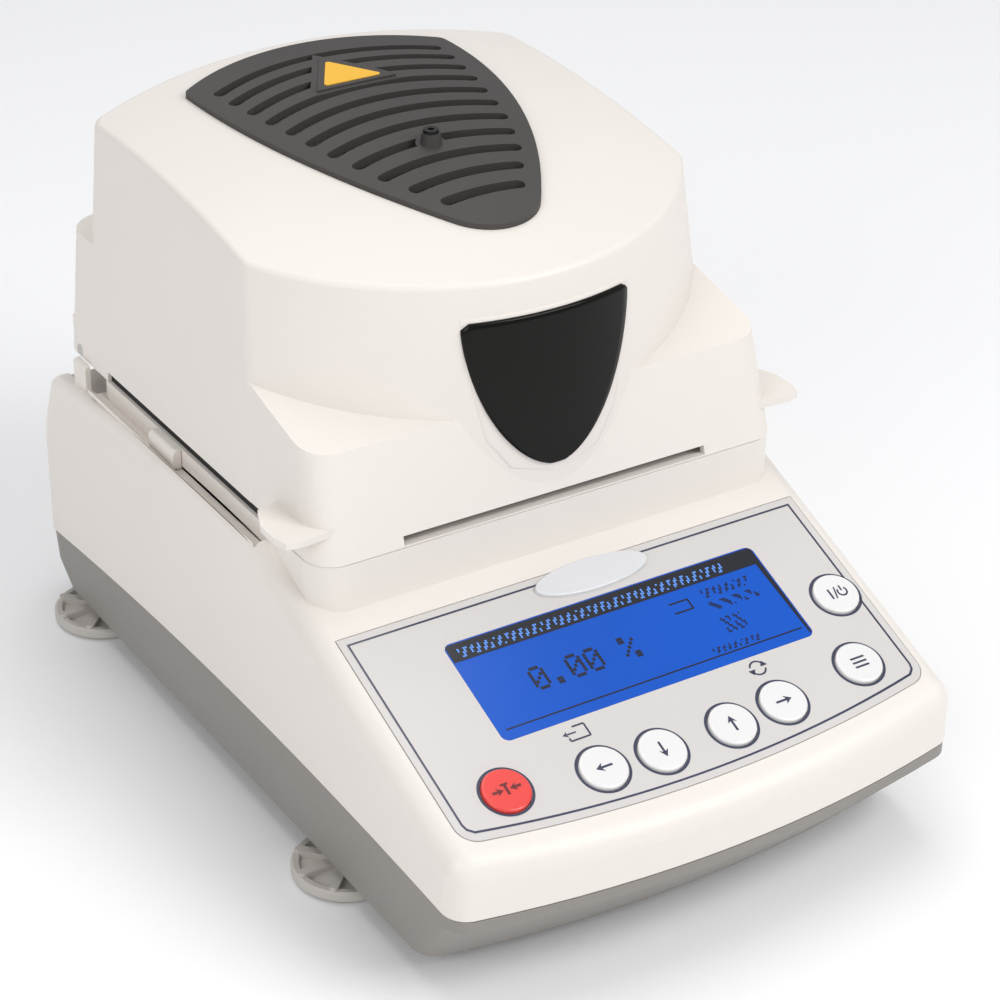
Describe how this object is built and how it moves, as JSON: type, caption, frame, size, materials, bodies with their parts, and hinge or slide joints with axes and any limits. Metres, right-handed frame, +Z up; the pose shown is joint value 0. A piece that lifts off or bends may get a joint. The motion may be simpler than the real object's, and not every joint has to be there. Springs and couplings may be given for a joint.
{
  "type": "moisture analyzer",
  "caption": "Bench moisture analyzer with a sloping key panel, a drying chamber with a weighing pan, and a hinged heating head with a dark grille.",
  "frame": {"origin": "on the bench, under the middle of the instrument", "axes": "+Z up, the panel faces -Y, +X to the right of someone who stands in front"},
  "size_m": [0.23, 0.3408, 0.2333],
  "materials": {
    "tray": "fine matt moulding",
    "housing": "fine matt moulding",
    "overlay": "printed film",
    "lcd_glass": "clear window over a blue display",
    "badge": "bare plate",
    "board": "printed board",
    "black_plastic": "moulding",
    "grille": "matt moulding",
    "smoked": "smoked window",
    "key_white": "key cap",
    "key_red": "key cap",
    "plate_yellow": "bare plate",
    "steel": "brushed",
    "bright_steel": "polished",
    "aluminium": "milled",
    "iron": "laminated core",
    "glass": "clear",
    "ceramic": "fired",
    "foot": "moulding",
    "rubber": "sole"
  },
  "bodies": {
    "base": {"lower_tray": "tray", "upper_housing": "housing", "panel_overlay": "overlay", "lcd_window": "lcd_glass", "lcd_module": "black_plastic", "badge_plate": "badge", "keypad_board": "board", "main_board": "board", "power_board": "board", "transformer": "iron", "mains_inlet": "black_plastic", "serial_port": "steel", "load_cell": "aluminium", "load_cell_base": "aluminium", "chamber_floor": "steel", "draft_ring": "steel", "pan_support": "steel", "tray_screws": "steel", "hinge_pin_left": "steel", "hinge_pin_right": "steel"},
    "head": {"head_shell": "housing", "top_grille": "grille", "top_plate": "plate_yellow", "grille_screw": "steel", "visor_window": "smoked", "reflector": "bright_steel", "lamp_front": "glass", "lamp_rear": "glass", "lamp_sockets": "ceramic", "heater_bulkhead": "steel", "protective_glass": "glass", "glass_clips": "steel", "temperature_sensor": "steel"},
    "handler": {"pan_handler": "black_plastic"},
    "pan": {"sample_pan": "aluminium"},
    "fuse_holder": {"fuse_drawer": "black_plastic"},
    "key_power": {"key_power": "key_white"},
    "key_menu": {"key_menu": "key_white"},
    "key_right": {"key_right": "key_white"},
    "key_up": {"key_up": "key_white"},
    "key_down": {"key_down": "key_white"},
    "key_left": {"key_left": "key_white"},
    "key_tare": {"key_tare": "key_red"},
    "foot_pad_front_left": {"foot_pad_front_left": "rubber"},
    "foot_wheel_front_left": {"foot_wheel_front_left": "foot"},
    "foot_pad_front_right": {"foot_pad_front_right": "rubber"},
    "foot_wheel_front_right": {"foot_wheel_front_right": "foot"},
    "foot_pad_rear_left": {"foot_pad_rear_left": "rubber"},
    "foot_wheel_rear_left": {"foot_wheel_rear_left": "foot"},
    "foot_pad_rear_right": {"foot_pad_rear_right": "rubber"},
    "foot_wheel_rear_right": {"foot_wheel_rear_right": "foot"}
  },
  "joints": [
    {"name": "lid_hinge", "type": "hinge", "parent": "base", "child": "head", "pos_m": [0, 0.1363, 0.1241], "axis": [-1, 0, 0], "range_deg": [0, 75]},
    {"name": "handler_lift", "type": "slide", "parent": "base", "child": "handler", "axis": [0, 0, 1], "range_m": [0, 0.018]},
    {"name": "pan_lift", "type": "slide", "parent": "handler", "child": "pan", "axis": [0, 0, 1], "range_m": [0, 0.015]},
    {"name": "fuse_drawer_slide", "type": "slide", "parent": "base", "child": "fuse_holder", "axis": [0, 1, 0], "range_m": [0, 0.012]},
    {"name": "key_power_press", "type": "slide", "parent": "base", "child": "key_power", "axis": [0, 0.3584, -0.9336], "range_m": [0, 0.0007], "stiffness_N_per_m": 1200, "springref_m": -0.0003},
    {"name": "key_menu_press", "type": "slide", "parent": "base", "child": "key_menu", "axis": [0, 0.3584, -0.9336], "range_m": [0, 0.0007], "stiffness_N_per_m": 1200, "springref_m": -0.0003},
    {"name": "key_right_press", "type": "slide", "parent": "base", "child": "key_right", "axis": [0, 0.3584, -0.9336], "range_m": [0, 0.0007], "stiffness_N_per_m": 1200, "springref_m": -0.0003},
    {"name": "key_up_press", "type": "slide", "parent": "base", "child": "key_up", "axis": [0, 0.3584, -0.9336], "range_m": [0, 0.0007], "stiffness_N_per_m": 1200, "springref_m": -0.0003},
    {"name": "key_down_press", "type": "slide", "parent": "base", "child": "key_down", "axis": [0, 0.3584, -0.9336], "range_m": [0, 0.0007], "stiffness_N_per_m": 1200, "springref_m": -0.0003},
    {"name": "key_left_press", "type": "slide", "parent": "base", "child": "key_left", "axis": [0, 0.3584, -0.9336], "range_m": [0, 0.0007], "stiffness_N_per_m": 1200, "springref_m": -0.0003},
    {"name": "key_tare_press", "type": "slide", "parent": "base", "child": "key_tare", "axis": [0, 0.3584, -0.9336], "range_m": [0, 0.0007], "stiffness_N_per_m": 1200, "springref_m": -0.0003},
    {"name": "foot_lift_front_left", "type": "slide", "parent": "base", "child": "foot_pad_front_left", "axis": [0, 0, -1], "range_m": [0, 0.0045]},
    {"name": "foot_spin_front_left", "type": "hinge", "parent": "foot_pad_front_left", "child": "foot_wheel_front_left", "pos_m": [-0.094, -0.066, 0.003], "axis": [0, 0, 1], "range_deg": [0, 1296]},
    {"name": "foot_lift_front_right", "type": "slide", "parent": "base", "child": "foot_pad_front_right", "axis": [0, 0, -1], "range_m": [0, 0.0045]},
    {"name": "foot_spin_front_right", "type": "hinge", "parent": "foot_pad_front_right", "child": "foot_wheel_front_right", "pos_m": [0.094, -0.066, 0.003], "axis": [0, 0, 1], "range_deg": [0, 1296]},
    {"name": "foot_lift_rear_left", "type": "slide", "parent": "base", "child": "foot_pad_rear_left", "axis": [0, 0, -1], "range_m": [0, 0.0045]},
    {"name": "foot_spin_rear_left", "type": "hinge", "parent": "foot_pad_rear_left", "child": "foot_wheel_rear_left", "pos_m": [-0.094, 0.138, 0.003], "axis": [0, 0, 1], "range_deg": [0, 1296]},
    {"name": "foot_lift_rear_right", "type": "slide", "parent": "base", "child": "foot_pad_rear_right", "axis": [0, 0, -1], "range_m": [0, 0.0045]},
    {"name": "foot_spin_rear_right", "type": "hinge", "parent": "foot_pad_rear_right", "child": "foot_wheel_rear_right", "pos_m": [0.094, 0.138, 0.003], "axis": [0, 0, 1], "range_deg": [0, 1296]}
  ],
  "couplings": [
    {"joint": "foot_spin_front_left", "follows": "foot_lift_front_left", "rad_per_m": 5026.5},
    {"joint": "foot_spin_front_right", "follows": "foot_lift_front_right", "rad_per_m": 5026.5},
    {"joint": "foot_spin_rear_left", "follows": "foot_lift_rear_left", "rad_per_m": 5026.5},
    {"joint": "foot_spin_rear_right", "follows": "foot_lift_rear_right", "rad_per_m": 5026.5}
  ]
}
